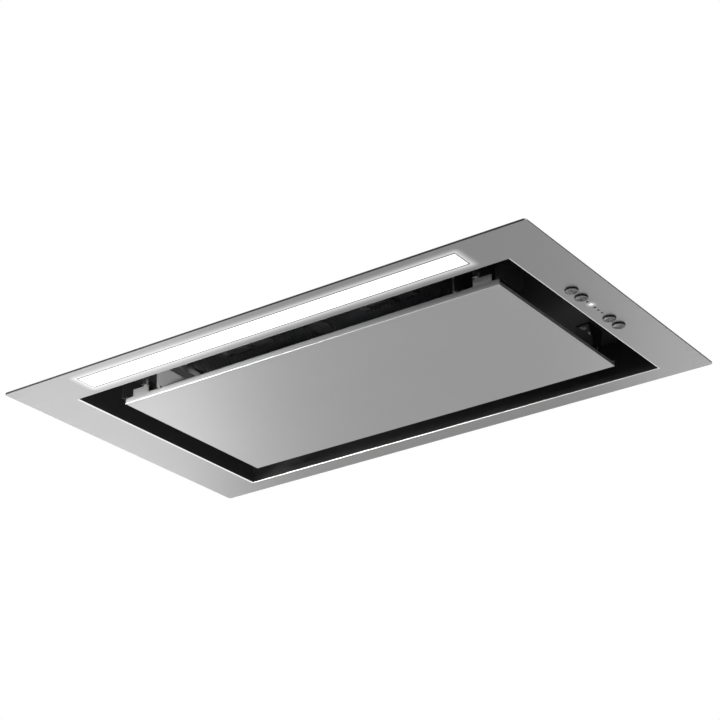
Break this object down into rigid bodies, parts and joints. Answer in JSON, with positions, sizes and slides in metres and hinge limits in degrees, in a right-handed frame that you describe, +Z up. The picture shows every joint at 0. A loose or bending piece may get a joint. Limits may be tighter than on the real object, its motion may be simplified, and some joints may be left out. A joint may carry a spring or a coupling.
{
  "type": "built-in range hood",
  "caption": "Built-in range hood with a brushed steel face frame, strip lamp, push-buttons, hinged suction panel over mesh grease filters, blower tower and round duct outlet.",
  "frame": {"origin": "centre of the face frame, in the plane of its visible underside, which is flush with the cabinet", "axes": "+Z up, -Y towards the user and the lamp, +X the user's right, where the buttons are"},
  "size_m": [0.72, 0.437, 0.334],
  "materials": {
    "frame_steel": "brushed stainless sheet",
    "panel_steel": "brushed stainless sheet",
    "zinc": "zinc-plated sheet",
    "spring_steel": "bright spring steel",
    "black_sheet": "satin black",
    "body_sheet": "galvanised sheet",
    "filter_aluminium": "mill finish",
    "latch_plastic": "matt black",
    "button_steel": "satin",
    "opal": "opal diffuser",
    "lamp_white": "white enamel",
    "white_plastic": "matt",
    "clear_plastic": "clear",
    "board": "printed circuit board",
    "black_plastic": "matt",
    "grey_plastic": "matt",
    "motor_metal": "die-cast",
    "can_aluminium": "drawn can",
    "rubber": "soft",
    "screw_zinc": "zinc-plated"
  },
  "bodies": {
    "hood": {"face_frame": "frame_steel", "cavity_liner": "black_sheet", "catch_bracket_left": "zinc", "catch_bracket_right": "zinc", "spring_catch_left": "spring_steel", "spring_catch_right": "spring_steel", "hinge_bracket_left": "zinc", "hinge_bracket_right": "zinc", "hinge_pins": "screw_zinc", "filter_frame_left": "filter_aluminium", "filter_frame_right": "filter_aluminium", "filter_mesh_left": "filter_aluminium", "filter_mesh_right": "filter_aluminium", "filter_rails": "black_sheet", "lamp_diffuser": "opal", "lamp_housing": "lamp_white", "lamp_board": "board", "lamp_driver": "white_plastic", "control_switches": "black_plastic", "indicator_light_pipe": "clear_plastic", "control_board": "board", "control_box": "grey_plastic", "lower_body": "body_sheet", "motor_tower": "body_sheet", "scroll_left": "grey_plastic", "scroll_right": "grey_plastic", "outlet_adaptor": "grey_plastic", "motor": "motor_metal", "motor_grommets": "rubber", "motor_bracket": "zinc", "outlet_collar": "black_plastic", "damper_pin": "screw_zinc", "electronics_box": "black_plastic", "electronics_cover": "black_plastic", "power_board": "board", "run_capacitor": "can_aluminium", "terminal_block": "white_plastic", "cable_gland": "black_plastic", "cabinet_clips": "spring_steel", "cavity_screws": "screw_zinc", "tower_screws": "screw_zinc", "collar_screws": "screw_zinc"},
    "panel": {"panel_skin": "panel_steel", "panel_tray": "zinc", "strike_left": "zinc", "strike_right": "zinc", "hinge_arm_left": "zinc", "hinge_arm_right": "zinc"},
    "impeller": {"impeller_hub": "grey_plastic", "impeller_rings": "grey_plastic", "impeller_blades": "grey_plastic", "motor_shaft": "screw_zinc"},
    "damper_front": {"damper_flap_front": "white_plastic"},
    "damper_back": {"damper_flap_back": "white_plastic"},
    "latch_left": {"filter_latch_left": "latch_plastic"},
    "latch_right": {"filter_latch_right": "latch_plastic"},
    "button_1": {"push_button_1": "button_steel"},
    "button_2": {"push_button_2": "button_steel"},
    "button_3": {"push_button_3": "button_steel"},
    "button_4": {"push_button_4": "button_steel"}
  },
  "joints": [
    {"name": "panel_hinge", "type": "hinge", "parent": "hood", "child": "panel", "pos_m": [0.0016, 0.14, 0.022], "axis": [1, 0, 0], "range_deg": [0, 88]},
    {"name": "impeller_spin", "type": "hinge", "parent": "hood", "child": "impeller", "pos_m": [0, -0.005, 0.178], "axis": [1, 0, 0], "continuous": true},
    {"name": "damper_front_swing", "type": "hinge", "parent": "hood", "child": "damper_front", "pos_m": [0, 0.059, 0.3046], "axis": [-1, 0, 0], "range_deg": [0, 78]},
    {"name": "damper_back_swing", "type": "hinge", "parent": "hood", "child": "damper_back", "pos_m": [0, 0.059, 0.3046], "axis": [1, 0, 0], "range_deg": [0, 78]},
    {"name": "latch_left_slide", "type": "slide", "parent": "hood", "child": "latch_left", "axis": [0, 1, 0], "range_m": [0, 0.0065], "stiffness_N_per_m": 250, "springref_m": -0.008},
    {"name": "latch_right_slide", "type": "slide", "parent": "hood", "child": "latch_right", "axis": [0, 1, 0], "range_m": [0, 0.0065], "stiffness_N_per_m": 250, "springref_m": -0.008},
    {"name": "button_1_press", "type": "slide", "parent": "hood", "child": "button_1", "axis": [0, 0, 1], "range_m": [0, 0.0016], "stiffness_N_per_m": 500, "springref_m": -0.003},
    {"name": "button_2_press", "type": "slide", "parent": "hood", "child": "button_2", "axis": [0, 0, 1], "range_m": [0, 0.0016], "stiffness_N_per_m": 500, "springref_m": -0.003},
    {"name": "button_3_press", "type": "slide", "parent": "hood", "child": "button_3", "axis": [0, 0, 1], "range_m": [0, 0.0016], "stiffness_N_per_m": 500, "springref_m": -0.003},
    {"name": "button_4_press", "type": "slide", "parent": "hood", "child": "button_4", "axis": [0, 0, 1], "range_m": [0, 0.0016], "stiffness_N_per_m": 500, "springref_m": -0.003}
  ]
}
